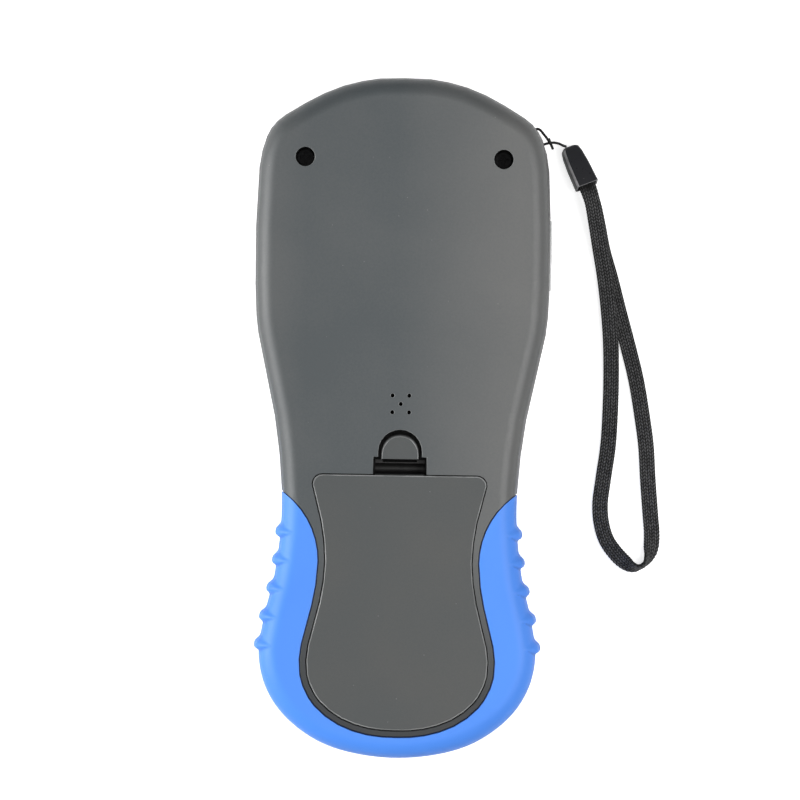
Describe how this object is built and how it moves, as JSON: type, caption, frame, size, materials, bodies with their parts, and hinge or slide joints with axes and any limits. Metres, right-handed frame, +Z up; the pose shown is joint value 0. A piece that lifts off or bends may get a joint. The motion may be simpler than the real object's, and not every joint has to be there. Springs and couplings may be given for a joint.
{
  "type": "land area meter",
  "caption": "Handheld satellite land area meter lying on its front, with a ribbed blue grip sleeve, a latched battery door and a braided wrist strap.",
  "frame": {"origin": "on the surface that the meter lies on, under the middle of its case", "axes": "+Z up out of the case's back, +Y towards the head with the strap, +X to the right seen from the back"},
  "size_m": [0.1206, 0.2, 0.034],
  "materials": {
    "grey_shell": "fine satin texture",
    "blue_rubber": "satin overmoulded rubber",
    "clear_lens": "polished",
    "display": "smooth",
    "circuit_board": "lacquered laminate",
    "antenna_ceramic": "fired ceramic",
    "silicone": "matt silicone",
    "key_plastic": "satin",
    "plated_steel": "plated",
    "black_plastic": "semi-gloss",
    "cell_wrap": "shrink film over a steel can",
    "black_braid": "woven cord"
  },
  "bodies": {
    "body": {"rear_shell": "grey_shell", "front_shell": "grey_shell", "grip_sleeve": "blue_rubber", "display_lens": "clear_lens", "display_module": "display", "main_board": "circuit_board", "satellite_antenna": "antenna_ceramic", "key_mat": "silicone", "head_screw_left": "plated_steel", "head_screw_right": "plated_steel", "foot_screw_left": "plated_steel", "foot_screw_right": "plated_steel", "board_screw_upper_left": "plated_steel", "board_screw_upper_right": "plated_steel", "board_screw_lower_left": "plated_steel", "board_screw_lower_right": "plated_steel", "port_socket": "plated_steel", "contact_spring_left": "plated_steel", "contact_spring_right": "plated_steel", "contact_plate_foot": "plated_steel", "contact_plate_left": "plated_steel", "contact_plate_right": "plated_steel", "buzzer": "black_plastic", "strap_crimp": "black_plastic", "battery_cell_left": "cell_wrap", "battery_cell_right": "cell_wrap", "strap_cord": "black_braid", "strap_braid": "black_braid"},
    "key_ok": {"key_ok": "key_plastic"},
    "key_up": {"key_up": "key_plastic"},
    "key_down": {"key_down": "key_plastic"},
    "key_left": {"key_left": "key_plastic"},
    "key_right": {"key_right": "key_plastic"},
    "key_power": {"key_power": "key_plastic"},
    "key_upper_left": {"key_upper_left": "key_plastic"},
    "key_upper_right": {"key_upper_right": "key_plastic"},
    "key_lower_left": {"key_lower_left": "key_plastic"},
    "key_lower_right": {"key_lower_right": "key_plastic"},
    "battery_door": {"battery_door": "grey_shell"},
    "port_cover": {"port_cover": "silicone"}
  },
  "joints": [
    {"name": "door_hinge", "type": "hinge", "parent": "body", "child": "battery_door", "pos_m": [0, -0.0913, 0.034], "axis": [1, 0, 0], "range_deg": [0, 35]},
    {"name": "port_cover_hinge", "type": "hinge", "parent": "body", "child": "port_cover", "pos_m": [0.04335, 0.059, 0.012], "axis": [0, 0, 1], "range_deg": [0, 75]},
    {"name": "key_ok_press", "type": "slide", "parent": "body", "child": "key_ok", "axis": [0, 0, 1], "range_m": [0, 0.0008], "stiffness_N_per_m": 300},
    {"name": "key_up_press", "type": "slide", "parent": "body", "child": "key_up", "axis": [0, 0, 1], "range_m": [0, 0.0008], "stiffness_N_per_m": 300},
    {"name": "key_down_press", "type": "slide", "parent": "body", "child": "key_down", "axis": [0, 0, 1], "range_m": [0, 0.0008], "stiffness_N_per_m": 300},
    {"name": "key_left_press", "type": "slide", "parent": "body", "child": "key_left", "axis": [0, 0, 1], "range_m": [0, 0.0008], "stiffness_N_per_m": 300},
    {"name": "key_right_press", "type": "slide", "parent": "body", "child": "key_right", "axis": [0, 0, 1], "range_m": [0, 0.0008], "stiffness_N_per_m": 300},
    {"name": "key_power_press", "type": "slide", "parent": "body", "child": "key_power", "axis": [0, 0, 1], "range_m": [0, 0.0008], "stiffness_N_per_m": 300},
    {"name": "key_upper_left_press", "type": "slide", "parent": "body", "child": "key_upper_left", "axis": [0, 0, 1], "range_m": [0, 0.0008], "stiffness_N_per_m": 300},
    {"name": "key_upper_right_press", "type": "slide", "parent": "body", "child": "key_upper_right", "axis": [0, 0, 1], "range_m": [0, 0.0008], "stiffness_N_per_m": 300},
    {"name": "key_lower_left_press", "type": "slide", "parent": "body", "child": "key_lower_left", "axis": [0, 0, 1], "range_m": [0, 0.0008], "stiffness_N_per_m": 300},
    {"name": "key_lower_right_press", "type": "slide", "parent": "body", "child": "key_lower_right", "axis": [0, 0, 1], "range_m": [0, 0.0008], "stiffness_N_per_m": 300}
  ]
}
